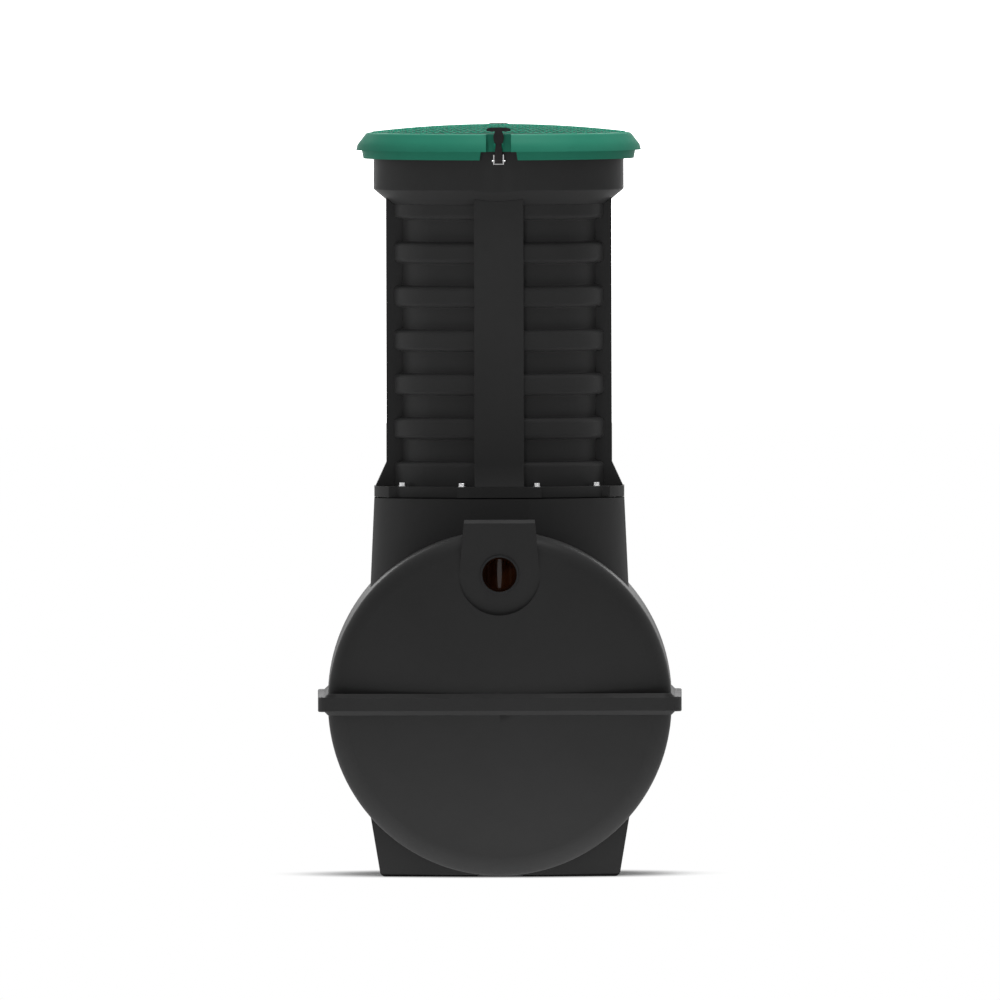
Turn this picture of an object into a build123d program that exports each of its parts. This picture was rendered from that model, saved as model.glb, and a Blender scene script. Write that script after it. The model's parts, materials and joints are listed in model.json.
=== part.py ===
from build123d import *

import os
from math import asin, cos, degrees, radians, sin, sqrt, tan

# A septic tank of moulded black plastic, in millimetres. The tank lies along Y with its inlet
# end towards -Y, Z is up, and the origin is on the ground under the middle of the tank.

# Tank shell: a round barrel closed by two dished ends with rounded knuckles
tank_radius = 550.0
tank_wall = 10.0
barrel_length = 1400.0
knuckle_radius = 65.0
dish_radius = 4500.0
ground_gap = 5.0

# Rim that joins the upper and lower halves of the tank
rim_overhang = 32.0
rim_end_overhang = 16.0
rim_thickness = 23.5
rim_corner = 60.0
rim_edge_chamfer = 3.0
rim_web = 11.0

# Feet under the barrel
foot_half_width = 382.0
foot_draft = 9.5
foot_gap_half = 71.0
foot_corner = 18.0
foot_inner_chamfer = 4.0
foot_length = 1030.0

# Flat bosses on the two ends, with the pipe ports
inlet_depth = 135.0
outlet_depth = 165.0
boss_setback = 21.0
boss_rise = 39.0
boss_top_half_width = 113.0
boss_half_width = 129.0
recess_radius = 131.0
boss_wall = 10.0
boss_top_length = 95.0
boss_length = 210.0
boss_top_chamfer = 10.0
pipe_radius = 55.0
pipe_clearance = 0.2
seal_thickness = 7.0
seal_lip = 3.0
seal_tail = 15.0

# Tees behind the ports
tee_wall = 3.2
tee_branch_radius = 48.0
socket_wall = 4.0
tee_setback = 165.0
tee_rise = 75.0
tee_drop = 420.0

# Turret on the barrel that carries the riser
turret_rise = 100.0
turret_radius = 411.0
turret_flat_depth = 11.0
turret_draft = 2.6
turret_wall = 10.0
turret_plate = 15.0
turret_opening_margin = 19.0

# Bolted joint between turret and riser
neck_gasket_thickness = 4.0
neck_gasket_margin = 39.0
neck_gasket_width = 42.0
flange_thickness = 34.0
flange_margin = 22.0
front_pad_width = 270.0
side_pad_width = 418.0
bolt_circle_margin = 47.0
bolt_angles = (19.0, 58.0)
bolt_radius = 6.0
bolt_hole_clearance = 0.5
bolt_head_radius = 11.0
bolt_head_height = 9.5
washer_radius = 13.0
washer_thickness = 3.0
nut_height = 12.0

# Corrugated riser with four upright ribs
riser_wall = 8.0
crest_margin = 66.5
groove_depth = 25.5
crest_height = 66.0
crest_pitch = 140.6
crest_count = 7
first_crest_rise = 78.0
last_crest_height = 46.4
crest_rounding = 11.0
rib_width = 158.0
rib_face_margin = 50.0
rib_foot_margin = 15.0
rib_foot_height = 76.0

# Collar on top of the riser
flare_height = 47.0
collar_margin = 10.5
collar_wall = 14.0
collar_flat_depth = 8.0
collar_height = 160.0
lid_gasket_height = 6.0
lid_gasket_width = 5.0

# Lid: a shallow dome with a drip edge and a skirt
lid_clearance = 0.3
lid_wall = 8.0
lid_shoulder_rise = 19.68
lid_dome_radius = 3465.0
lid_shoulder_overhang = 22.5
lid_shoulder_rounding = 12.0
drip_top_overhang = 51.5
drip_top_drop = 18.0
drip_overhang = 55.5
drip_bottom_drop = 35.0
skirt_top_overhang = 37.5
skirt_bottom_overhang = 32.5
skirt_drop = 62.0
lid_seam_rise = 12.0
notch_half_width = 40.0
notch_face_overhang = 5.5
skirt_cut_half_width = 57.0
skirt_cut_slant = 4.0

# Rubber latches, one at the front of the lid and one at the rear
pin_setout = 26.0
pin_drop = 65.0
pin_radius = 3.0
pin_length = 43.0
pin_clearance = 0.3
bracket_below_pin = 11.0
bracket_above_pin = 20.0
bracket_gap = 28.0
bracket_sheet = 3.0
bracket_reach = 7.0
bracket_lip = 21.0
strap_width = 25.0
strap_thickness = 8.0
strap_eye_radius = 7.0
strap_neck_width = 18.6
strap_neck_drop = 34.0
bulb_width = 33.0
bulb_height = 38.0
bulb_thickness = 13.0
bulb_neck_width = 23.0
grip_width = 77.0
grip_rise = 40.0
grip_end_height = 8.0
grip_height = 12.0
keeper_drop = 9.0
keeper_thickness = 5.0
keeper_half_width = 15.5
keeper_slot_clearance = 1.7
keeper_reach = 20.0
keeper_plate_drop = 16.0
keeper_sheet = 2.0
bulb_clearance = 0.5

# Heights and radii that follow from the values above
axis_height = tank_radius + ground_gap
barrel_crown = axis_height + tank_radius
half_barrel = barrel_length / 2
dish_angle = degrees(asin((tank_radius - knuckle_radius) / (dish_radius - knuckle_radius)))
head_depth = dish_radius - (dish_radius - knuckle_radius) * cos(radians(dish_angle))
crown = half_barrel + head_depth
boss_face = crown - boss_setback
boss_top = barrel_crown + boss_rise
inlet_height = barrel_crown - inlet_depth
outlet_height = barrel_crown - outlet_depth
port_radius = pipe_radius + pipe_clearance
seal_radius = port_radius + seal_thickness
socket_front = boss_face - boss_wall - seal_tail
socket_length = tee_setback - boss_wall - seal_tail
turret_flat = turret_radius - turret_flat_depth
turret_opening_radius = turret_radius - turret_opening_margin
turret_top = barrel_crown + turret_rise
neck_gasket_outer = turret_radius - neck_gasket_margin
neck_gasket_inner = neck_gasket_outer - neck_gasket_width
flange_radius = turret_radius - flange_margin
bolt_circle_radius = turret_radius - bolt_circle_margin
flange_bottom = turret_top + neck_gasket_thickness
flange_top = flange_bottom + flange_thickness
crest_radius = turret_radius - crest_margin
groove_radius = crest_radius - groove_depth
riser_inner_radius = groove_radius - riser_wall
rib_face = turret_radius - rib_face_margin
rib_foot = turret_radius - rib_foot_margin
first_crest_top = flange_top + first_crest_rise
last_crest_bottom = first_crest_top + (crest_count - 1) * crest_pitch - crest_height
flare_bottom = last_crest_bottom + last_crest_height
flare_top = flare_bottom + flare_height
collar_radius = turret_radius - collar_margin
collar_flat = collar_radius - collar_flat_depth
collar_top = flare_top + collar_height
lid_seat = collar_top + lid_gasket_height + lid_clearance
lid_shoulder_radius = collar_radius + lid_shoulder_overhang
lid_sag = lid_dome_radius - sqrt(lid_dome_radius**2 - lid_shoulder_radius**2)
lid_crown = collar_top + lid_shoulder_rise + lid_sag
lid_seam = collar_top + lid_seam_rise
drip_top_radius = collar_radius + drip_top_overhang
drip_radius = collar_radius + drip_overhang
skirt_top_radius = collar_radius + skirt_top_overhang
skirt_bottom_radius = collar_radius + skirt_bottom_overhang
notch_depth_face = collar_radius + notch_face_overhang
drip_top = collar_top - drip_top_drop
drip_bottom = collar_top - drip_bottom_drop
skirt_bottom = collar_top - skirt_drop
pin_face = collar_flat + pin_setout
pin_height = collar_top - pin_drop
bracket_bottom = pin_height - bracket_below_pin
bracket_top = pin_height + bracket_above_pin
keeper_top = collar_top - keeper_drop
strap_neck_bottom = keeper_top - strap_neck_drop
grip_bottom = keeper_top + grip_rise
grip_top = grip_bottom + grip_height

tank_axis = Axis((0, 0, axis_height), (0, 1, 0))
upper_turn = Axis((0, 0, axis_height), (0, 1, 0))
lower_turn = Axis((0, 0, axis_height), (0, -1, 0))
tank_plane = Plane(origin=(0, 0, axis_height), x_dir=(0, 1, 0), z_dir=(0, 0, 1))


def save(piece, name):
    """Label a finished piece and write its STEP file."""
    piece.part.label = name
    export_step(piece.part, f"parts/{name}.step")


def radial_plane(angle):
    """Upright plane through the neck's axis: local x points out at the angle, local y is up."""
    turn = radians(angle)
    return Plane(origin=(0, 0, 0), x_dir=(cos(turn), sin(turn), 0), z_dir=(sin(turn), -cos(turn), 0))


def dome_height(radius, inset=0.0):
    """Height of the lid's dome, or of the surface inset below it, at a radius."""
    dome = lid_dome_radius - inset
    return lid_crown - lid_dome_radius + sqrt(dome**2 - radius**2)


def head_line(inset):
    """Half outline of a dished end, from the barrel to the crown, inset from the outer face."""
    knuckle = JernArc(
        start=(half_barrel, tank_radius - inset),
        tangent=(1, 0),
        radius=knuckle_radius - inset,
        arc_size=-(90 - dish_angle),
    )
    dish = JernArc(start=knuckle @ 1, tangent=knuckle % 1, radius=dish_radius - inset, arc_size=-dish_angle)
    return knuckle @ 0, dish @ 1


def tank_solid(inset):
    """The whole tank as one mass, inset from its outer face."""
    with BuildPart() as mass:
        with BuildSketch(tank_plane):
            with BuildLine():
                start, tip = head_line(inset)
                Polyline(start, (0, start.Y), (0, 0), tip)
            make_face()
            mirror(about=Plane.YZ)
        revolve(axis=tank_axis)
    return mass.part


os.makedirs("parts", exist_ok=True)
tank_mass = tank_solid(0.0)
tank_hollow = tank_solid(tank_wall)


def port_outline(port_height, inset):
    """Outline of a boss seen from its end: a flat top, sloping sides and a wider round bottom."""
    radius = recess_radius + boss_wall - inset
    half = boss_half_width - inset
    top_half = boss_top_half_width - inset
    top = boss_top - inset
    with BuildSketch() as outline:
        with BuildLine():
            Polyline(
                (-radius, port_height),
                (-half, port_height),
                (-top_half, top),
                (top_half, top),
                (half, port_height),
                (radius, port_height),
            )
            ThreePointArc((radius, port_height), (0, port_height - radius), (-radius, port_height))
        make_face()
    return outline.sketch


def boss_prism(port_height):
    """Prism of a boss outline at the front end, long enough to cut the shell behind it."""
    with BuildPart() as prism:
        with BuildSketch(Plane.XZ.offset(crown)):
            add(port_outline(port_height, 0.0))
        extrude(amount=-(boss_setback + boss_length))
    return prism.part


inlet_prism = boss_prism(inlet_height)
outlet_prism = mirror(boss_prism(outlet_height), about=Plane.XZ)

# Barrel halves
for turn, name in ((upper_turn, "upper_barrel"), (lower_turn, "lower_barrel")):
    with BuildPart() as barrel_half:
        with BuildSketch(tank_plane):
            with Locations((0, tank_radius - tank_wall / 2)):
                Rectangle(barrel_length, tank_wall)
        revolve(axis=turn, revolution_arc=180)
        if name == "upper_barrel":
            with BuildSketch(Plane.XY.offset(axis_height)):
                Circle(turret_opening_radius)
            extrude(amount=tank_radius, mode=Mode.SUBTRACT)
            add(inlet_prism, mode=Mode.SUBTRACT)
            add(outlet_prism, mode=Mode.SUBTRACT)
    save(barrel_half, name)

# Dished ends, each in two halves
for turn, half in ((upper_turn, "upper"), (lower_turn, "lower")):
    for end, prism in (("rear", outlet_prism), ("front", inlet_prism)):
        with BuildPart() as end_half:
            with BuildSketch(tank_plane):
                with BuildLine():
                    outer_start, outer_tip = head_line(0.0)
                    inner_start, inner_tip = head_line(tank_wall)
                    Line(outer_start, inner_start)
                    Line(outer_tip, inner_tip)
                make_face()
                if end == "front":
                    mirror(about=Plane.YZ, mode=Mode.REPLACE)
            revolve(axis=turn, revolution_arc=180)
            if half == "upper":
                add(prism, mode=Mode.SUBTRACT)
        save(end_half, f"{half}_{end}_end")

# Rims of the two halves, with a sloping web under the lower one
rim_width = 2 * (tank_radius + rim_overhang)
rim_length = 2 * (crown + rim_end_overhang)
for side, half in ((1, "upper"), (-1, "lower")):
    with BuildPart() as rim:
        with BuildSketch(Plane.XY.offset(axis_height)):
            RectangleRounded(rim_width, rim_length, rim_corner)
        extrude(amount=side * rim_thickness)
        chamfer(rim.faces().sort_by(Axis.Z)[-1 if side > 0 else 0].edges(), rim_edge_chamfer)
        web_width = 2 * (tank_radius + rim_web)
        web_length = 2 * (crown + rim_web)
        with BuildSketch(Plane.XY.offset(axis_height + side * rim_thickness)):
            RectangleRounded(web_width, web_length, rim_corner - rim_overhang + rim_web)
        extrude(amount=side * rim_web, taper=45)
        add(tank_mass, mode=Mode.SUBTRACT)
    save(rim, f"{half}_rim")

# Feet
foot_top = axis_height - tank_radius / 2
for side, name in ((-1, "left_foot"), (1, "right_foot")):
    with BuildPart() as foot:
        with BuildSketch(Plane.XZ) as foot_section:
            with BuildLine():
                Polyline(
                    (side * foot_gap_half, 0),
                    (side * foot_half_width, 0),
                    (side * (foot_half_width + foot_top * tan(radians(foot_draft))), foot_top),
                    (side * foot_gap_half, foot_top),
                    close=True,
                )
            make_face()
            low_corners = foot_section.vertices().group_by(Axis.Y)[0].sort_by(Axis.X)
            fillet(low_corners[0 if side < 0 else -1], foot_corner)
            low_corners = foot_section.vertices().group_by(Axis.Y)[0].sort_by(Axis.X)
            chamfer(low_corners[-1 if side < 0 else 0], foot_inner_chamfer)
        extrude(amount=foot_length / 2, both=True)
        add(tank_mass, mode=Mode.SUBTRACT)
    save(foot, name)


def boss(port_height):
    """Hollow boss on the front end: a flat plate with the port, and walls back to the shell."""
    plate_back = boss_face - boss_wall
    with BuildPart() as recess_wall:
        with BuildSketch(Plane.XZ.offset(crown)):
            add(port_outline(port_height, 0.0))
        extrude(amount=-(boss_setback + boss_wall))
        with BuildSketch(Plane.XZ.offset(crown)):
            add(port_outline(port_height, boss_wall))
        extrude(amount=-(boss_setback + boss_wall), mode=Mode.SUBTRACT)
        add(tank_mass, mode=Mode.INTERSECT)
    with BuildPart() as shell:
        with BuildSketch(Plane.XZ.offset(boss_face)):
            add(port_outline(port_height, 0.0))
        extrude(amount=-boss_length)
        with BuildSketch(Plane.YZ):
            with BuildLine():
                Polyline(
                    (-boss_face, 0),
                    (-boss_face, boss_top),
                    (-boss_face + boss_top_length, boss_top),
                    (-boss_face + boss_length, barrel_crown - tank_wall),
                    (-boss_face + boss_length, 0),
                    close=True,
                )
            make_face()
        extrude(amount=tank_radius, both=True, mode=Mode.INTERSECT)
        top_edge = shell.edges().filter_by(Axis.X).group_by(Axis.Z)[-1].sort_by(Axis.Y)[0]
        chamfer(top_edge, boss_top_chamfer)
    with BuildPart() as cavity:
        with BuildSketch(Plane.XZ.offset(plate_back)):
            add(port_outline(port_height, boss_wall))
        extrude(amount=-boss_length)
        with BuildSketch(Plane.YZ):
            with BuildLine():
                Polyline(
                    (-plate_back, 0),
                    (-plate_back, boss_top),
                    (-boss_face + boss_top_length - boss_wall / 2, boss_top),
                    (-boss_face + boss_length - boss_wall, barrel_crown - 2 * tank_wall),
                    (-boss_face + boss_length - boss_wall, 0),
                    close=True,
                )
            make_face()
        extrude(amount=tank_radius, both=True, mode=Mode.INTERSECT)
    with BuildPart() as inside:
        add(tank_hollow)
        split(bisect_by=Plane.XZ.offset(plate_back), keep=Keep.BOTTOM)
    with BuildPart() as body:
        add(shell.part)
        add(cavity.part, mode=Mode.SUBTRACT)
        add(inside.part, mode=Mode.SUBTRACT)
        add(recess_wall.part)
        with BuildSketch(Plane.XZ.offset(crown)):
            with Locations((0, port_height)):
                Circle(seal_radius)
        extrude(amount=-(boss_setback + boss_wall), mode=Mode.SUBTRACT)
    return body.part


def seal(port_height):
    """Rubber ring in the port, which grips the sewer pipe."""
    with BuildPart() as ring:
        with BuildSketch(Plane.XZ.offset(boss_face + seal_lip)):
            with Locations((0, port_height)):
                Circle(seal_radius)
                Circle(port_radius, mode=Mode.SUBTRACT)
        extrude(amount=-(seal_lip + boss_wall + seal_tail))
    return ring.part


def pipe_plane(port_height):
    """Level plane at the foot of a dip pipe, centred on the pipe."""
    return Plane(origin=(0, -boss_face + tee_setback, port_height - tee_drop))


def tee_socket(port_height):
    """Level socket behind the port, with a stop for the sewer pipe, cut to sit on the dip pipe."""
    with BuildPart() as socket:
        with BuildSketch(Plane.XZ.offset(socket_front)):
            with Locations((0, port_height)):
                Circle(port_radius + socket_wall)
                Circle(tee_branch_radius, mode=Mode.SUBTRACT)
        extrude(amount=-socket_length)
        with BuildSketch(Plane.XZ.offset(socket_front)):
            with Locations((0, port_height)):
                Circle(port_radius)
        extrude(amount=-(socket_length - pipe_radius), mode=Mode.SUBTRACT)
        with BuildSketch(pipe_plane(port_height)):
            Circle(pipe_radius)
        extrude(amount=tee_drop + tee_rise, mode=Mode.SUBTRACT)
    return socket.part


def dip_pipe(port_height):
    """Upright pipe of the tee, open at both ends and to the socket."""
    with BuildPart() as pipe:
        with BuildSketch(pipe_plane(port_height)):
            Circle(pipe_radius)
            Circle(pipe_radius - tee_wall, mode=Mode.SUBTRACT)
        extrude(amount=tee_drop + tee_rise)
        with BuildSketch(Plane.XZ.offset(socket_front)):
            with Locations((0, port_height)):
                Circle(tee_branch_radius)
        extrude(amount=-socket_length, mode=Mode.SUBTRACT)
    return pipe.part


# Bosses, seals and the tees' pieces: the rear set is the front one mirrored at the outlet's height
for make, kind in ((boss, "boss"), (seal, "seal"), (tee_socket, "tee_socket"), (dip_pipe, "dip_pipe")):
    with BuildPart() as inlet_piece:
        add(make(inlet_height))
    save(inlet_piece, f"inlet_{kind}")
    with BuildPart() as outlet_piece:
        mirror(make(outlet_height), about=Plane.XZ)
    save(outlet_piece, f"outlet_{kind}")


def bolt_spots():
    """Places of the flange bolts, mirrored from the angles off the front and the rear."""
    spots = []
    for angle in bolt_angles:
        across = bolt_circle_radius * sin(radians(angle))
        along = bolt_circle_radius * cos(radians(angle))
        spots += [(across, along), (-across, along), (across, -along), (-across, -along)]
    return spots


with BuildSketch() as bolt_holes:
    with Locations(*bolt_spots()):
        Circle(bolt_radius + bolt_hole_clearance)


def turret_mass(inset):
    """Tapered turret from its top down to the middle of the tank, inset from its outer face."""
    with BuildPart() as mass:
        with BuildSketch(Plane.XY.offset(turret_top)):
            Circle(turret_radius - inset)
            Rectangle(2 * (turret_flat - inset), 2 * (turret_flat - inset), mode=Mode.INTERSECT)
        extrude(amount=-(turret_top - axis_height), taper=-turret_draft)
    return mass.part


plate_plane = Plane.XY.offset(turret_top - turret_plate)
neck_sides = ((0, "right"), (90, "rear"), (180, "left"), (270, "front"))


def neck_quarter(angle):
    """Wedge of a quarter turn about the neck's axis, centred on the angle."""
    with BuildSketch() as wedge:
        with BuildLine():
            Polyline((0, 0), (turret_radius, -turret_radius), (turret_radius, turret_radius), close=True)
        make_face()
    return wedge.sketch.rotate(Axis.Z, angle)


# Turret wall, cut to sit on the barrel
with BuildPart() as turret:
    add(turret_mass(0.0))
    add(turret_mass(turret_wall), mode=Mode.SUBTRACT)
    add(tank_mass, mode=Mode.SUBTRACT)
    split(bisect_by=plate_plane, keep=Keep.BOTTOM)
save(turret, "turret")

# Plate that closes the turret round the neck, in four quarters
for angle, side in neck_sides:
    with BuildPart() as turret_flange:
        add(turret_mass(0.0))
        split(bisect_by=plate_plane, keep=Keep.TOP)
        with BuildSketch(Plane.XY.offset(turret_top)):
            add(neck_quarter(angle))
        extrude(amount=-turret_plate, mode=Mode.INTERSECT)
        with BuildSketch(Plane.XY.offset(turret_top)):
            Circle(riser_inner_radius)
            add(bolt_holes.sketch)
        extrude(amount=-turret_plate, mode=Mode.SUBTRACT)
    save(turret_flange, f"{side}_turret_flange")

# Gasket between the turret and the riser
with BuildPart() as neck_gasket:
    with BuildSketch(Plane.XY.offset(turret_top)):
        Circle(neck_gasket_outer)
        Circle(neck_gasket_inner, mode=Mode.SUBTRACT)
    extrude(amount=neck_gasket_thickness)
    with BuildSketch(Plane.XY.offset(turret_top)):
        add(bolt_holes.sketch)
    extrude(amount=neck_gasket_thickness, mode=Mode.SUBTRACT)
save(neck_gasket, "neck_gasket")

# Riser flange: a ring with four pads, in four quarters
for angle, side in neck_sides:
    with BuildPart() as riser_flange:
        with BuildSketch(Plane.XY.offset(flange_bottom)):
            Rectangle(front_pad_width, 2 * turret_flat)
            Rectangle(2 * turret_flat, side_pad_width)
            Circle(turret_radius, mode=Mode.INTERSECT)
            Circle(flange_radius)
            Circle(riser_inner_radius, mode=Mode.SUBTRACT)
            add(bolt_holes.sketch, mode=Mode.SUBTRACT)
            add(neck_quarter(angle), mode=Mode.INTERSECT)
        extrude(amount=flange_thickness)
    save(riser_flange, f"{side}_riser_flange")

# Bolts with washers above the flange and nuts under the turret plate
nut_top = turret_top - turret_plate
with BuildPart() as flange_bolts:
    for spot in bolt_spots():
        with BuildSketch(Plane.XY.offset(nut_top - nut_height).move(Location((*spot, 0)))):
            RegularPolygon(bolt_head_radius, 6)
        extrude(amount=nut_height)
        with BuildSketch(Plane.XY.offset(nut_top).move(Location((*spot, 0)))):
            Circle(bolt_radius)
        extrude(amount=flange_top - nut_top)
        with BuildSketch(Plane.XY.offset(flange_top).move(Location((*spot, 0)))):
            Circle(washer_radius)
        extrude(amount=washer_thickness)
        with BuildSketch(Plane.XY.offset(flange_top + washer_thickness).move(Location((*spot, 0)))):
            RegularPolygon(bolt_head_radius, 6)
        extrude(amount=bolt_head_height)
save(flange_bolts, "flange_bolts")


def riser_section():
    """Section of the corrugated wall in a radial plane, from the flange to the flare."""
    middle_crest = crest_radius - riser_wall / 2
    middle_groove = groove_radius - riser_wall / 2
    points = [(middle_crest, flange_top)]
    for index in range(crest_count):
        top = first_crest_top + index * crest_pitch - riser_wall / 2
        if index > 0:
            bottom = top - crest_height + riser_wall
            points += [(middle_groove, bottom), (middle_crest, bottom)]
        if index < crest_count - 1:
            points += [(middle_crest, top), (middle_groove, top)]
    points.append((middle_crest, flare_bottom))
    with BuildSketch() as section:
        with BuildLine():
            FilletPolyline(*points, radius=crest_rounding)
        trace(line_width=riser_wall)
    return section.sketch


# Corrugated wall in eight panels, two between each pair of upright ribs
for number in range(1, 9):
    with BuildPart() as riser_panel:
        with BuildSketch(radial_plane(45 * (number - 1))):
            add(riser_section())
        revolve(axis=Axis.Z, revolution_arc=45)
        with BuildSketch(Plane.XY.offset(flange_top)):
            Rectangle(rib_width, 4 * crest_radius)
            Rectangle(4 * crest_radius, rib_width)
        extrude(amount=flare_top - flange_top, mode=Mode.SUBTRACT)
    save(riser_panel, f"riser_panel_{number}")

# Cone of the flare, which trims the tops of the ribs
with BuildPart() as flare_cone:
    with BuildSketch(radial_plane(0)):
        with BuildLine():
            Polyline(
                (0, flare_bottom),
                (crest_radius, flare_bottom),
                (collar_radius, flare_top),
                (0, flare_top),
                close=True,
            )
        make_face()
    revolve(axis=Axis.Z)

# Upright ribs: hollow channels that are open to the inside of the riser
for angle, side in neck_sides:
    with BuildPart() as rib:
        with BuildSketch(radial_plane(angle)):
            with BuildLine():
                Polyline(
                    (0, flange_top),
                    (rib_foot, flange_top),
                    (rib_face, flange_top + rib_foot_height),
                    (rib_face, flare_top),
                    (0, flare_top),
                    close=True,
                )
            make_face()
        extrude(amount=rib_width / 2, both=True)
        add(flare_cone.part, mode=Mode.SUBTRACT)
        with BuildSketch(radial_plane(angle)):
            with BuildLine():
                Polyline(
                    (0, flange_top),
                    (rib_foot - riser_wall, flange_top),
                    (rib_face - riser_wall, flange_top + rib_foot_height),
                    (rib_face - riser_wall, flare_bottom - riser_wall),
                    (0, flare_bottom - riser_wall),
                    close=True,
                )
            make_face()
        extrude(amount=rib_width / 2 - riser_wall, both=True, mode=Mode.SUBTRACT)
        with BuildSketch(Plane.XY.offset(flange_top)):
            Circle(riser_inner_radius)
        extrude(amount=flare_top - flange_top, mode=Mode.SUBTRACT)
        with BuildSketch(Plane.XY.offset(flange_top)):
            with Locations((-collar_radius * cos(radians(angle)), -collar_radius * sin(radians(angle)))):
                Rectangle(2 * collar_radius, 2 * collar_radius)
        extrude(amount=flare_top - flange_top, mode=Mode.SUBTRACT)
    save(rib, f"{side}_rib")

# Collar: a flare and an upright wall, flat at the front and the rear where the latches sit
collar_inner = collar_radius - collar_wall
with BuildPart() as riser_collar:
    with BuildSketch(radial_plane(0)):
        with BuildLine():
            Polyline(
                (riser_inner_radius, flare_bottom),
                (crest_radius, flare_bottom),
                (collar_radius, flare_top),
                (collar_radius, collar_top),
                (collar_inner, collar_top),
                (collar_inner, flare_top + riser_wall),
                (riser_inner_radius, flare_bottom + riser_wall),
                close=True,
            )
        make_face()
    revolve(axis=Axis.Z)
    with BuildSketch(Plane.XY.offset(flare_bottom)):
        Rectangle(2 * collar_radius, 2 * collar_flat)
    extrude(amount=collar_top - flare_bottom, mode=Mode.INTERSECT)
save(riser_collar, "riser_collar")

# Gasket on the collar's top edge
with BuildPart() as lid_gasket:
    with BuildSketch(Plane.XY.offset(collar_top)):
        Circle(collar_inner + lid_gasket_width)
        Circle(collar_inner, mode=Mode.SUBTRACT)
    extrude(amount=lid_gasket_height)
save(lid_gasket, "lid_gasket")


def lid_section(inset):
    """Half section of the lid as a filled shape, inset from its outer face."""
    shoulder = lid_shoulder_radius - inset / 2
    shoulder_corner = (shoulder, dome_height(shoulder, inset))
    ledge = drip_bottom + inset
    dome_mid = shoulder / 2
    with BuildSketch() as section:
        with BuildLine():
            ThreePointArc(
                (0, lid_crown - inset),
                (dome_mid, dome_height(dome_mid, inset)),
                shoulder_corner,
            )
            Polyline(
                shoulder_corner,
                (drip_top_radius - inset, drip_top - inset / 4),
                (drip_radius - inset, ledge),
                (skirt_top_radius - inset, ledge),
                (skirt_bottom_radius - inset, skirt_bottom),
                (0, skirt_bottom),
                (0, lid_crown - inset),
            )
        make_face()
        fillet(section.vertices().sort_by_distance(shoulder_corner)[0], lid_shoulder_rounding - inset)
    return section.sketch


def lid_mass(inset):
    """The lid as one mass with its two latch notches, inset from its outer face."""
    with BuildPart() as mass:
        with BuildSketch(radial_plane(0)):
            add(lid_section(inset))
        revolve(axis=Axis.Z)
        with BuildSketch(Plane.XY.offset(skirt_bottom)):
            with Locations((0, drip_radius), (0, -drip_radius)):
                notch_depth = drip_radius - notch_depth_face + inset
                Rectangle(2 * (notch_half_width + inset), 2 * notch_depth)
        extrude(amount=lid_crown - skirt_bottom, mode=Mode.SUBTRACT)
    return mass.part


seam_plane = Plane.XY.offset(lid_seam)
lid_outside = lid_mass(0.0)
lid_inside = lid_mass(lid_wall)

# Lid rim: shoulder, drip edge and skirt, with the skirt cut away at the latches
with BuildPart() as lid_rim:
    add(lid_outside)
    add(lid_inside, mode=Mode.SUBTRACT)
    split(bisect_by=seam_plane, keep=Keep.BOTTOM)
    with BuildSketch(Plane.XZ) as skirt_cut:
        with BuildLine():
            top_half = skirt_cut_half_width
            low_half = skirt_cut_half_width + skirt_cut_slant
            Polyline(
                (-low_half, skirt_bottom),
                (-top_half, drip_bottom),
                (top_half, drip_bottom),
                (low_half, skirt_bottom),
                close=True,
            )
        make_face()
    extrude(amount=drip_radius, both=True, mode=Mode.SUBTRACT)
save(lid_rim, "lid_rim")

# Lid dome, with the ring under it that seats on the gasket
with BuildPart() as lid_dome:
    add(lid_outside)
    add(lid_inside, mode=Mode.SUBTRACT)
    split(bisect_by=seam_plane, keep=Keep.TOP)
    with BuildSketch(Plane.XY.offset(lid_seat)):
        Circle(collar_inner + lid_gasket_width)
        Circle(collar_inner, mode=Mode.SUBTRACT)
    extrude(amount=dome_height(collar_inner + lid_gasket_width, lid_wall / 2) - lid_seat)
save(lid_dome, "lid_dome")


def mirrored_pair(front_piece, name):
    """Write a front piece and its mirror image at the rear."""
    save(front_piece, f"front_{name}")
    with BuildPart() as rear_piece:
        mirror(front_piece.part, about=Plane.XZ)
    save(rear_piece, f"rear_{name}")


# Latch bracket: a plate on the collar with two cheeks and a lip below
cheek_reach = pin_setout + bracket_reach
bracket_height = bracket_top - bracket_bottom
with BuildPart() as latch_bracket:
    with BuildSketch(Plane.XZ.offset(collar_flat)):
        with Locations((0, bracket_bottom + bracket_height / 2)):
            Rectangle(bracket_gap + 2 * bracket_sheet, bracket_height)
    extrude(amount=bracket_sheet)
    cheek_middle = (bracket_gap + bracket_sheet) / 2
    with BuildSketch(Plane.XZ.offset(collar_flat)):
        with Locations((0, bracket_bottom + bracket_height / 2)):
            with GridLocations(2 * cheek_middle, 0, 2, 1):
                Rectangle(bracket_sheet, bracket_height)
    extrude(amount=cheek_reach)
    with BuildSketch(Plane.XZ.offset(collar_flat)):
        with Locations((0, bracket_bottom + bracket_sheet / 2)):
            Rectangle(bracket_gap + 2 * bracket_sheet, bracket_sheet)
    extrude(amount=bracket_lip)
    with BuildSketch(Plane.YZ):
        with Locations((-pin_face, pin_height)):
            Circle(pin_radius)
    extrude(amount=pin_length, both=True, mode=Mode.SUBTRACT)
mirrored_pair(latch_bracket, "latch_bracket")

# Latch pin, held in the bracket's cheeks
with BuildPart() as latch_pin:
    with BuildSketch(Plane.YZ):
        with Locations((-pin_face, pin_height)):
            Circle(pin_radius)
    extrude(amount=pin_length / 2, both=True)
mirrored_pair(latch_pin, "latch_pin")

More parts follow.
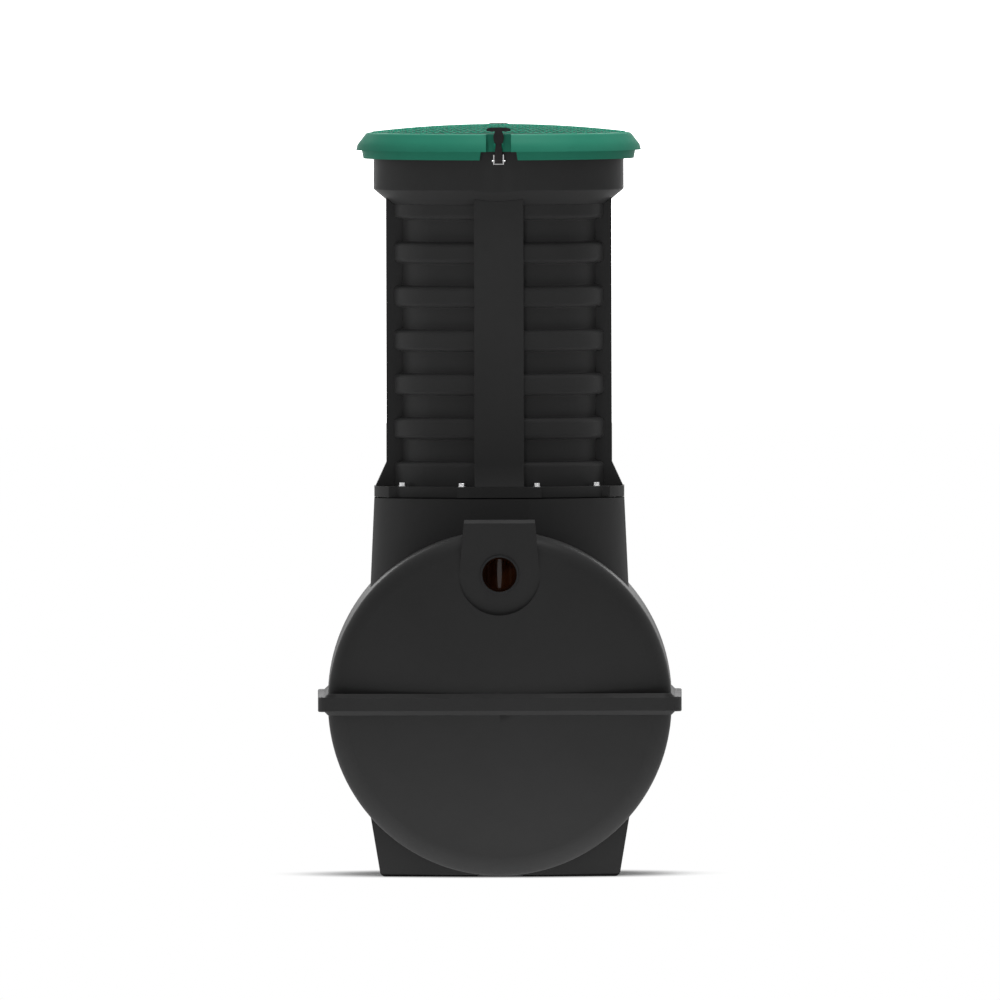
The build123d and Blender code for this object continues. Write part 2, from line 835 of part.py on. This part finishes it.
# Rubber strap: an eye round the pin, a flat strap, a bulb and a cross grip
bulb_bottom = keeper_top + bulb_clearance
bulb_middle = bulb_bottom + bulb_height / 2
bulb_top = bulb_bottom + bulb_height
strap_plane = Plane.XZ.offset(pin_face)
keeper_sweep = sqrt((keeper_top - pin_height) ** 2 + (keeper_reach / 2) ** 2) + bulb_clearance
with BuildPart() as latch_strap:
    with BuildSketch(strap_plane):
        with BuildLine():
            half_bulb_foot = bulb_neck_width / 2
            Polyline((half_bulb_foot, pin_height), (half_bulb_foot, bulb_bottom))
            ThreePointArc(
                (half_bulb_foot, bulb_bottom), (bulb_width / 2, bulb_middle), (half_bulb_foot, bulb_top)
            )
            Polyline(
                (half_bulb_foot, bulb_top),
                (grip_width / 2, grip_bottom),
                (grip_width / 2, grip_bottom + grip_end_height),
                (grip_width / 3, grip_top),
                (0, grip_top),
                (0, pin_height),
                (half_bulb_foot, pin_height),
            )
        make_face()
        mirror(about=Plane.YZ)
    extrude(amount=bulb_thickness / 2, both=True)
    with BuildSketch(Plane.YZ):
        with Locations((-pin_face, pin_height)):
            Circle(keeper_sweep)
    extrude(amount=grip_width, both=True, mode=Mode.SUBTRACT)
    with BuildSketch(strap_plane):
        with BuildLine():
            half_strap = strap_width / 2
            half_neck = strap_neck_width / 2
            Polyline(
                (half_strap, pin_height),
                (half_strap, strap_neck_bottom),
                (half_neck, keeper_top - keeper_thickness),
                (half_neck, bulb_middle),
                (-half_neck, bulb_middle),
                (-half_neck, keeper_top - keeper_thickness),
                (-half_strap, strap_neck_bottom),
                (-half_strap, pin_height),
                close=True,
            )
        make_face()
    extrude(amount=strap_thickness / 2, both=True)
    with BuildSketch(Plane.YZ):
        with Locations((-pin_face, pin_height)):
            Circle(strap_eye_radius)
    extrude(amount=strap_width / 2, both=True)
    with BuildSketch(Plane.YZ):
        with Locations((-pin_face, pin_height)):
            Circle(pin_radius + pin_clearance)
    extrude(amount=strap_width, both=True, mode=Mode.SUBTRACT)
mirrored_pair(latch_strap, "latch_strap")

# Keeper on the lid: a plate in the notch with two horns that hold the bulb
slot_half = strap_neck_width / 2 + keeper_slot_clearance
horn_width = keeper_half_width - slot_half
with BuildPart() as keeper:
    with BuildSketch(Plane.XZ.offset(notch_depth_face)):
        with Locations((0, keeper_top - keeper_plate_drop / 2)):
            Rectangle(2 * keeper_half_width, keeper_plate_drop)
    extrude(amount=keeper_sheet)
    horn_length = pin_face + keeper_reach / 2 - notch_depth_face
    with BuildSketch(Plane.XZ.offset(notch_depth_face)):
        with Locations((0, keeper_top - keeper_thickness / 2)):
            with GridLocations(2 * slot_half + horn_width, 0, 2, 1):
                Rectangle(horn_width, keeper_thickness)
    extrude(amount=horn_length)
mirrored_pair(keeper, "keeper")
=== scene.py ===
import json
import math

import bmesh
import bpy
from mathutils import Matrix, Vector


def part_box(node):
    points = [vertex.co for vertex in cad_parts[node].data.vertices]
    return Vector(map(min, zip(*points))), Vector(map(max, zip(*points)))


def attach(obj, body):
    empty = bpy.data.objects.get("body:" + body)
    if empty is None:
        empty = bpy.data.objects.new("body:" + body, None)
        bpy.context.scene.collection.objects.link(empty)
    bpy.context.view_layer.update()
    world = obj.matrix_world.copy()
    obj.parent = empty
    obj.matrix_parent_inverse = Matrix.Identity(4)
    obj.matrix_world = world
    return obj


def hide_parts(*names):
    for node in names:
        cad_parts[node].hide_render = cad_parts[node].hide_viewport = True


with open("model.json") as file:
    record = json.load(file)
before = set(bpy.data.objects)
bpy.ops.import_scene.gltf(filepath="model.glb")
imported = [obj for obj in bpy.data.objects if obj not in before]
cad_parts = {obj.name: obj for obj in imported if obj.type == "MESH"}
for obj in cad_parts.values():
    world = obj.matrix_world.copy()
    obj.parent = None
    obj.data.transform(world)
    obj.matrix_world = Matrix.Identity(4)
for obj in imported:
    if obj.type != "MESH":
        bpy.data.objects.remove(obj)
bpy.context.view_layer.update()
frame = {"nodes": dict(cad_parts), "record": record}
nodes = frame["nodes"]
scene = bpy.context.scene


# Tread field on the lid's dome: its reach from the axis, and the band where the painted shade on its
# ground ends

TREAD_REACH = 0.404
TREAD_FADE_INSIDE = 0.005
TREAD_FADE_OUTSIDE = 0.001
TREAD_EDGE = (TREAD_REACH - TREAD_FADE_INSIDE, TREAD_REACH + TREAD_FADE_OUTSIDE)
TREAD_SHEEN = 0.01


# Materials

# Most values of a noise texture lie between these two
NOISE_LOW = 0.3
NOISE_HIGH = 0.7

# Colours of each material, from dark to light
BLACK = ((0.0260, 0.0260, 0.0261), (0.0275, 0.0275, 0.0276), (0.029, 0.029, 0.0291))
KEEPER_GREEN = ((0.010, 0.158, 0.100), (0.012, 0.172, 0.109), (0.015, 0.188, 0.120))
# The lid's green is darker than the keepers' green: partly its own colour, partly painted shade against
# the strong top lamp
LID_GREEN_AND_PAINTED_SHADE = ((0.016, 0.130, 0.084), (0.0185, 0.141, 0.092), (0.0215, 0.153, 0.100))
# The tread's green is lighter than the lid's green: painted light on the raised lozenges
TREAD_GREEN_PAINTED_LIGHT = ((0.014, 0.165, 0.105), (0.017, 0.180, 0.115), (0.020, 0.196, 0.126))
STRAP_BLACK = ((0.019, 0.018, 0.0183), (0.027, 0.0255, 0.026))
SEAL_BLACK = ((0.017, 0.0174, 0.018), (0.023, 0.0236, 0.0243))
PIPE_BROWN = ((0.125, 0.037, 0.010), (0.165, 0.052, 0.015))
# The tee socket's brown is a darker copy of the pipe's brown: painted shade inside the inlet hole
SOCKET_BROWN_PAINTED_SHADE = ((0.036, 0.011, 0.0035), (0.048, 0.015, 0.005))
STEEL_GREY = ((0.50, 0.50, 0.50), (0.66, 0.66, 0.67))
PAPER_GREY = ((0.86, 0.86, 0.86), (0.88, 0.88, 0.88))


class Shader:
    """A procedural material on object coordinates, built node by node."""

    def __init__(self, name):
        self.material = bpy.data.materials.new(name)
        self.material.use_nodes = True
        self.tree = self.material.node_tree
        self.bsdf = self.tree.nodes["Principled BSDF"]
        self.coords = self.tree.nodes.new("ShaderNodeTexCoord").outputs["Object"]
        self.normal = None

    def link(self, source, target):
        self.tree.links.new(source, target)

    def stretched(self, scale):
        """Object coordinates scaled by a vector."""
        mapping = self.tree.nodes.new("ShaderNodeMapping")
        mapping.inputs["Scale"].default_value = scale
        self.link(self.coords, mapping.inputs["Vector"])
        return mapping.outputs["Vector"]

    def noise(self, scale, detail=3.0, roughness=0.55, vector=None):
        node = self.tree.nodes.new("ShaderNodeTexNoise")
        node.inputs["Scale"].default_value = scale
        node.inputs["Detail"].default_value = detail
        node.inputs["Roughness"].default_value = roughness
        self.link(vector or self.coords, node.inputs["Vector"])
        return node.outputs["Fac"]

    def ramp(self, factor, positions, colours):
        """Colour ramp with one colour at each position."""
        node = self.tree.nodes.new("ShaderNodeValToRGB")
        elements = node.color_ramp.elements
        while len(elements) < len(positions):
            elements.new(0.5)
        for element, position, colour in zip(elements, positions, colours):
            element.position = position
            element.color = (*colour, 1.0)
        self.link(factor, node.inputs["Fac"])
        return node.outputs["Color"]

    def spread(self, factor, low, high):
        """Map a noise value to a range."""
        node = self.tree.nodes.new("ShaderNodeMapRange")
        node.inputs["From Min"].default_value = NOISE_LOW
        node.inputs["From Max"].default_value = NOISE_HIGH
        node.inputs["To Min"].default_value = low
        node.inputs["To Max"].default_value = high
        self.link(factor, node.inputs["Value"])
        return node.outputs["Result"]

    def from_axis(self, inner, outer, low, high, squash=1.0):
        """A value that goes from low to high between two distances from the upright axis."""
        length = self.tree.nodes.new("ShaderNodeVectorMath")
        length.operation = "LENGTH"
        self.link(self.stretched((squash, 1.0, 0.0)), length.inputs[0])
        node = self.tree.nodes.new("ShaderNodeMapRange")
        node.interpolation_type = "SMOOTHSTEP"
        node.inputs["From Min"].default_value = inner
        node.inputs["From Max"].default_value = outer
        node.inputs["To Min"].default_value = low
        node.inputs["To Max"].default_value = high
        self.link(length.outputs["Value"], node.inputs["Value"])
        return node.outputs["Result"]

    def dimmed(self, colour, amount):
        """A colour times a value."""
        node = self.tree.nodes.new("ShaderNodeVectorMath")
        node.operation = "SCALE"
        self.link(colour, node.inputs[0])
        self.link(amount, node.inputs["Scale"])
        return node.outputs["Vector"]

    def bump(self, height, strength, distance):
        """Lay a bump, of a distance in metres, over those laid before."""
        node = self.tree.nodes.new("ShaderNodeBump")
        node.inputs["Strength"].default_value = strength
        node.inputs["Distance"].default_value = distance
        self.link(height, node.inputs["Height"])
        if self.normal is not None:
            self.link(self.normal, node.inputs["Normal"])
        self.normal = node.outputs["Normal"]
        self.link(self.normal, self.bsdf.inputs["Normal"])

    def set(self, **values):
        """Set inputs of the surface, with an underscore for each space in a name."""
        for name, value in values.items():
            self.bsdf.inputs[name.replace("_", " ")].default_value = value


def moulded_plastic(name, colours, roughness, specular, painted_dome_shade=None):
    """Satin rotationally moulded plastic: cloudy colour, fine grain and faint waviness.

    Where a painted dome shade is given, the ground of the tread field on the dome is darkened by it:
    painted shade against the top lamp's light, and between the lozenges.
    """
    s = Shader(name)
    colour = s.ramp(s.noise(scale=3.2, detail=4.0), (0.28, 0.52, 0.78), colours)
    if painted_dome_shade is not None:
        # Painted shade: the ground of the tread field on the dome is darkened
        colour = s.dimmed(colour, s.from_axis(*TREAD_EDGE, painted_dome_shade, 1.0))
        s.link(s.from_axis(*TREAD_EDGE, TREAD_SHEEN, specular), s.bsdf.inputs["Specular IOR Level"])
    else:
        s.set(Specular_IOR_Level=specular)
    s.link(colour, s.bsdf.inputs["Base Color"])
    s.link(s.spread(s.noise(scale=9.0, detail=5.0), *roughness), s.bsdf.inputs["Roughness"])
    s.bump(s.noise(scale=420.0, detail=2.0), strength=0.05, distance=0.0006)
    s.bump(s.noise(scale=14.0, detail=2.0), strength=0.04, distance=0.004)
    return s.material


def rubber(name, colours, roughness, specular):
    """Matt rubber with a faint bloom and fine pores."""
    s = Shader(name)
    bloom = s.ramp(s.noise(scale=26.0, detail=5.0), (0.3, 0.72), colours)
    s.link(bloom, s.bsdf.inputs["Base Color"])
    s.link(s.spread(s.noise(scale=60.0, detail=3.0), *roughness), s.bsdf.inputs["Roughness"])
    s.set(Specular_IOR_Level=specular)
    s.bump(s.noise(scale=900.0, detail=2.0), strength=0.12, distance=0.0004)
    return s.material


def sewer_pipe(name, colours, roughness, specular):
    """Smooth extruded pipe with faint upright draw lines."""
    s = Shader(name)
    lines = s.noise(scale=60.0, detail=3.0, vector=s.stretched((1.0, 1.0, 0.02)))
    s.link(s.ramp(lines, (NOISE_LOW, NOISE_HIGH), colours), s.bsdf.inputs["Base Color"])
    s.link(s.spread(s.noise(scale=30.0), *roughness), s.bsdf.inputs["Roughness"])
    s.set(Specular_IOR_Level=specular)
    s.bump(lines, strength=0.06, distance=0.0005)
    return s.material


def steel(name, colours, roughness):
    """Bare stainless steel with a fine rolled grain."""
    s = Shader(name)
    grain = s.noise(scale=900.0, detail=2.0, vector=s.stretched((0.08, 1.0, 1.0)))
    tint = s.ramp(s.noise(scale=40.0, detail=4.0), (NOISE_LOW, NOISE_HIGH), colours)
    s.link(tint, s.bsdf.inputs["Base Color"])
    s.link(s.spread(grain, *roughness), s.bsdf.inputs["Roughness"])
    s.set(Metallic=1.0)
    s.bump(grain, strength=0.05, distance=0.0003)
    return s.material


MATERIALS = {
    "black_plastic": moulded_plastic("black_plastic", BLACK, roughness=(0.36, 0.44), specular=0.022),
    "green_plastic": moulded_plastic("green_plastic", KEEPER_GREEN, roughness=(0.44, 0.54), specular=0.08),
    "strap_rubber": rubber("strap_rubber", STRAP_BLACK, roughness=(0.70, 0.85), specular=0.0),
    "seal_rubber": rubber("seal_rubber", SEAL_BLACK, roughness=(0.42, 0.56), specular=0.08),
    "brown_pipe": sewer_pipe("brown_pipe", PIPE_BROWN, roughness=(0.07, 0.12), specular=0.4),
    "steel": steel("steel", STEEL_GREY, roughness=(0.24, 0.42)),
}
# Lid material: a darker copy of the green plastic, partly painted shade, with painted shade on the dome's
# tread ground
LID_PLASTIC = moulded_plastic(
    "green_lid", LID_GREEN_AND_PAINTED_SHADE, roughness=(0.44, 0.54), specular=0.03, painted_dome_shade=0.34
)
# Tread material: a lighter copy of the lid's green, as painted light on the raised lozenges
TREAD_PLASTIC_PAINTED_LIGHT = moulded_plastic("green_tread_painted_light", TREAD_GREEN_PAINTED_LIGHT, roughness=(0.40, 0.50), specular=0.02)
# Tee socket material: the pipe's brown darkened as painted shade inside the inlet hole
TEE_SOCKET_PAINTED_SHADE = sewer_pipe("tee_socket", SOCKET_BROWN_PAINTED_SHADE, roughness=(0.40, 0.52), specular=0.04)

slot_of = {row["node"]: row["material_slot"] for row in frame["record"]["subparts"]}
for name, obj in nodes.items():
    obj.data.materials.clear()
    obj.data.materials.append(TEE_SOCKET_PAINTED_SHADE if name.endswith("tee_socket") else MATERIALS[slot_of[name]])


def piece(name, mesh, body, slot, material=None):
    """Put a finished mesh in the scene as a piece that rides on a body."""
    obj = bpy.data.objects.new(name, mesh)
    scene.collection.objects.link(obj)
    obj.data.materials.append(material or MATERIALS[slot])
    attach(obj, body)
    return obj


# Rounded edges: moulded corners catch a thin line of light

# Widths in metres, by the last words of a node's name
EDGE_ROUNDING = {
    "rib": 0.0035,
    "rim": 0.0022,
    "foot": 0.004,
    "seal": 0.0014,
    "flange_bolts": 0.0011,
    "latch_bracket": 0.0007,
    "latch_pin": 0.0007,
    "latch_strap": 0.0016,
    "keeper": 0.0008,
    "riser_collar": 0.0025,
}
FLANGE_ROUNDING = 0.0022
LID_ROUNDING = 0.0035
SHARP_ANGLE = math.radians(28)
FLAT_ANGLE = math.radians(0.4)
ROUNDING_SEGMENTS = 3
FACE_WEIGHT = 80
WELD_REACH = 1e-5
JOIN_REACH = 2e-5

FLANGE_NODES = [f"{side}_riser_flange" for side in ("front", "rear", "left", "right")]
LID_NODES = ["lid_rim", "lid_dome"]


def round_edges(obj, width):
    """Round the sharp edges of a CAD node with modifiers, which leave its own mesh as it is."""
    weld = obj.modifiers.new("weld", "WELD")
    weld.merge_threshold = WELD_REACH
    flat = obj.modifiers.new("flat", "DECIMATE")
    flat.decimate_type = "DISSOLVE"
    flat.angle_limit = FLAT_ANGLE
    bevel = obj.modifiers.new("edges", "BEVEL")
    bevel.width = width
    bevel.segments = ROUNDING_SEGMENTS
    bevel.limit_method = "ANGLE"
    bevel.angle_limit = SHARP_ANGLE
    bevel.use_clamp_overlap = True
    normals = obj.modifiers.new("normals", "WEIGHTED_NORMAL")
    normals.weight = FACE_WEIGHT


# The lid's nodes are rounded as one mesh below, and the dished ends are only shaded evenly
for name, obj in nodes.items():
    for ending, width in EDGE_ROUNDING.items():
        if name.endswith(ending) and name not in LID_NODES:
            round_edges(obj, width)
    if name.endswith("_end"):
        obj.modifiers.new("normals", "WEIGHTED_NORMAL")


def joined(name, parts, on_seam, width, body, slot, material=None):
    """One mesh from several CAD nodes, without the faces where they meet, and with rounded edges."""
    bm = bmesh.new()
    for part in parts:
        bm.from_mesh(nodes[part].data)
    inner = [face for face in bm.faces if on_seam(face.calc_center_median(), face.normal)]
    bmesh.ops.delete(bm, geom=inner, context="FACES")
    bmesh.ops.remove_doubles(bm, verts=bm.verts, dist=JOIN_REACH)
    bmesh.ops.dissolve_limit(bm, angle_limit=FLAT_ANGLE, verts=bm.verts, edges=bm.edges)
    sharp = [edge for edge in bm.edges if edge.is_manifold and edge.calc_face_angle(0) > SHARP_ANGLE]
    bmesh.ops.bevel(
        bm, geom=sharp, offset=width, segments=ROUNDING_SEGMENTS, profile=0.5, affect="EDGES",
        clamp_overlap=True
    )
    for face in bm.faces:
        face.smooth = True
    mesh = bpy.data.meshes.new(name)
    bm.to_mesh(mesh)
    bm.free()
    obj = piece(name, mesh, body, slot, material)
    normals = obj.modifiers.new("normals", "WEIGHTED_NORMAL")
    normals.weight = FACE_WEIGHT
    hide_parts(*parts)


DIAGONAL = math.sqrt(0.5)
DIAGONAL_REACH = 1e-4
DIAGONAL_SLACK = 0.01
UPRIGHT_SLACK = 0.1


def on_diagonal(centre, normal):
    """Tell the upright faces on the diagonals, where the flange's quarters meet."""
    upright = abs(normal.z) < UPRIGHT_SLACK
    placed = abs(abs(centre.x) - abs(centre.y)) < DIAGONAL_REACH
    turned = abs(abs(normal.x) - DIAGONAL) < DIAGONAL_SLACK
    return upright and placed and turned


LID_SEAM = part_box("lid_rim")[1].z
LID_SEAM_REACH = 1e-5
LEVEL_NORMAL = 0.99


def on_lid_seam(centre, normal):
    """Tell the level faces where the lid's rim and dome meet."""
    return abs(centre.z - LID_SEAM) < LID_SEAM_REACH and abs(normal.z) > LEVEL_NORMAL


joined("riser_flange", FLANGE_NODES, on_diagonal, FLANGE_ROUNDING, "tank", "black_plastic")
joined("lid_shell", LID_NODES, on_lid_seam, LID_ROUNDING, "lid", "green_plastic", LID_PLASTIC)


# Lid tread: raised slanted lozenges in rows that follow the dome

LID_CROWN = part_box("lid_dome")[1].z
DOME_RADIUS = 3.465
TREAD_PITCH = 0.022
TREAD_ROW = 0.040
TREAD_TURN = math.radians(45)
TREAD_HALF_LENGTH = 0.0145
TREAD_HALF_WIDTH = 0.0050
TREAD_HEIGHT = 0.0018
TREAD_SINK = 0.0006
TREAD_CORNERS = 8
# Outlines of a lozenge from its foot up: the share of its full size, and the lift from the dome
TREAD_RINGS = ((1.0, -TREAD_SINK), (0.92, 0.5 * TREAD_HEIGHT), (0.72, TREAD_HEIGHT))
# The tread keeps clear of the latch notches within this half width and beyond this distance
NOTCH_HALF = 0.046
NOTCH_FACE = 0.392


def dome_z(x, y):
    """Height of the dome's surface."""
    return LID_CROWN - DOME_RADIUS + math.sqrt(DOME_RADIUS**2 - x * x - y * y)


def tread_places():
    """Centre and turn of each lozenge, in rows set half a pitch apart by turns."""
    rows = int(TREAD_REACH / TREAD_ROW) + 1
    columns = int(TREAD_REACH / TREAD_PITCH) + 1
    for row in range(-rows, rows + 1):
        for column in range(-columns, columns + 1):
            x = (column + 0.5 * (row % 2)) * TREAD_PITCH
            y = row * TREAD_ROW
            in_notch = abs(x) < NOTCH_HALF and abs(y) > NOTCH_FACE
            if math.hypot(x, y) <= TREAD_REACH and not in_notch:
                yield x, y, TREAD_TURN if column % 2 else -TREAD_TURN


def lozenge_outline(x, y, turn, size, lift):
    """Points of one outline of a lozenge, on the dome or lifted from it."""
    along = Vector((math.cos(turn), math.sin(turn)))
    across = Vector((-along.y, along.x))
    for corner in range(TREAD_CORNERS):
        angle = 2 * math.pi * corner / TREAD_CORNERS
        u = TREAD_HALF_LENGTH * size * math.cos(angle)
        v = TREAD_HALF_WIDTH * size * math.sin(angle)
        px = x + along.x * u + across.x * v
        py = y + along.y * u + across.y * v
        yield px, py, dome_z(px, py) + lift


def tread_mesh():
    """All the lozenges as one mesh, with smooth sides and flat tops."""
    bm = bmesh.new()
    for place in tread_places():
        loops = [[bm.verts.new(point) for point in lozenge_outline(*place, *ring)] for ring in TREAD_RINGS]
        for low, high in zip(loops, loops[1:]):
            for k in range(TREAD_CORNERS):
                m = (k + 1) % TREAD_CORNERS
                bm.faces.new((low[k], low[m], high[m], high[k]))
        bm.faces.new(loops[-1])
        bm.faces.new(list(reversed(loops[0])))
    for face in bm.faces:
        face.smooth = len(face.verts) == 4
    mesh = bpy.data.meshes.new("lid_tread")
    bm.to_mesh(mesh)
    bm.free()
    return mesh


piece("lid_tread", tread_mesh(), "lid", "green_plastic", TREAD_PLASTIC_PAINTED_LIGHT)


# Studio: a pale floor, soft lamps and a white surround

WHITE = (1.0, 1.0, 1.0, 1.0)
SURROUND_STRENGTH = 0.31
BACKDROP_STRENGTH = 1.0


def light_path_mix(tree, seen, lit):
    """Mix two shaders: the first for camera, glossy and transmission rays, the second for the rest."""
    path = tree.nodes.new("ShaderNodeLightPath")
    either = tree.nodes.new("ShaderNodeMath")
    either.operation = "MAXIMUM"
    tree.links.new(path.outputs["Is Camera Ray"], either.inputs[0])
    tree.links.new(path.outputs["Is Glossy Ray"], either.inputs[1])
    any_seen = tree.nodes.new("ShaderNodeMath")
    any_seen.operation = "MAXIMUM"
    tree.links.new(either.outputs[0], any_seen.inputs[0])
    tree.links.new(path.outputs["Is Transmission Ray"], any_seen.inputs[1])
    mix = tree.nodes.new("ShaderNodeMixShader")
    tree.links.new(any_seen.outputs[0], mix.inputs["Fac"])
    tree.links.new(lit, mix.inputs[1])
    tree.links.new(seen, mix.inputs[2])
    return mix.outputs["Shader"]


world = bpy.data.worlds.new("studio")
scene.world = world
world.use_nodes = True
world_tree = world.node_tree
surround = world_tree.nodes["Background"]
surround.inputs["Color"].default_value = WHITE
surround.inputs["Strength"].default_value = SURROUND_STRENGTH
backdrop = world_tree.nodes.new("ShaderNodeBackground")
backdrop.inputs["Color"].default_value = WHITE
backdrop.inputs["Strength"].default_value = BACKDROP_STRENGTH
shown = light_path_mix(world_tree, backdrop.outputs["Background"], surround.outputs["Background"])
world_tree.links.new(shown, world_tree.nodes["World Output"].inputs["Surface"])

FLOOR_HALF = 40.0
floor_corners = [(x * FLOOR_HALF, y * FLOOR_HALF, 0) for x, y in ((-1, -1), (1, -1), (1, 1), (-1, 1))]
floor_mesh = bpy.data.meshes.new("floor")
floor_mesh.from_pydata(floor_corners, [], [(0, 1, 2, 3)])
floor = bpy.data.objects.new("floor", floor_mesh)
scene.collection.objects.link(floor)

# The paper turns from shaded to white between these distances from the axis, sooner across the tank
PAPER_FADE = (0.5, 0.95)
PAPER_SQUASH = 1.25

paper = Shader("floor_paper")
paper.set(Roughness=0.85)
paper_colour = paper.ramp(paper.noise(scale=2.0), (NOISE_LOW, NOISE_HIGH), PAPER_GREY)
paper.link(paper_colour, paper.bsdf.inputs["Base Color"])
white = paper.tree.nodes.new("ShaderNodeEmission")
far_white = paper.tree.nodes.new("ShaderNodeMixShader")
paper.link(paper.from_axis(*PAPER_FADE, 0.0, 1.0, squash=PAPER_SQUASH), far_white.inputs["Fac"])
paper.link(paper.bsdf.outputs["BSDF"], far_white.inputs[1])
paper.link(white.outputs["Emission"], far_white.inputs[2])
paper_shown = light_path_mix(paper.tree, far_white.outputs["Shader"], paper.bsdf.outputs["BSDF"])
paper.link(paper_shown, paper.tree.nodes["Material Output"].inputs["Surface"])
floor_mesh.materials.append(paper.material)


def softbox(name, place, target, size, power, hidden=False, spread=180.0):
    """A rectangular lamp aimed at a point, in watts and degrees. A hidden one isn't seen or reflected."""
    lamp = bpy.data.lights.new(name, "AREA")
    lamp.shape = "RECTANGLE"
    lamp.size, lamp.size_y = size
    lamp.energy = power
    lamp.spread = math.radians(spread)
    obj = bpy.data.objects.new(name, lamp)
    obj.location = place
    obj.rotation_euler = (Vector(target) - Vector(place)).to_track_quat("-Z", "Y").to_euler()
    obj.visible_camera = not hidden
    obj.visible_glossy = not hidden
    scene.collection.objects.link(obj)


softbox("key_right", place=(4.6, 0.9, 3.4), target=(0.2, 0, 1.2), size=(2.4, 3.2), power=19)
softbox("fill_left", place=(-4.6, 0.9, 2.6), target=(-0.2, 0, 1.2), size=(2.4, 3.2), power=26)
softbox("top", place=(0.45, -0.6, 5.4), target=(0, -0.2, 1.0), size=(2.4, 1.2), power=160)
softbox("back", place=(0.0, 4.8, 2.6), target=(0, 0, 1.2), size=(4.0, 2.6), power=40)
softbox(
    "front", place=(-0.9, -5.6, 2.15), target=(0, 0, 2.15), size=(1.0, 0.6), power=2.7, hidden=True,
    spread=30.0
)
softbox("bounce", place=(0.0, -0.5, 0.004), target=(0, -0.5, 1), size=(4.0, 3.0), power=70, hidden=True)


# Camera: nearly level, square on to the inlet end and without perspective

CAMERA_TILT = math.radians(1.0)
CAMERA_ROLL = math.radians(-0.13)
CAMERA_REACH = 8.0
CAMERA_SCALE = 3.2
CAMERA_CLIP = 100.0
AIM = Vector((0.0021, 0.0, 1.1955))

camera_data = bpy.data.cameras.new("camera")
camera_data.type = "ORTHO"
camera_data.ortho_scale = CAMERA_SCALE
camera_data.clip_end = CAMERA_CLIP
camera = bpy.data.objects.new("camera", camera_data)
camera.location = AIM + CAMERA_REACH * Vector((0, -math.cos(CAMERA_TILT), math.sin(CAMERA_TILT)))
facing = Matrix.Rotation(math.pi / 2 - CAMERA_TILT, 3, "X") @ Matrix.Rotation(CAMERA_ROLL, 3, "Z")
camera.rotation_euler = facing.to_euler()
scene.collection.objects.link(camera)
scene.camera = camera

scene.view_settings.view_transform = "Standard"
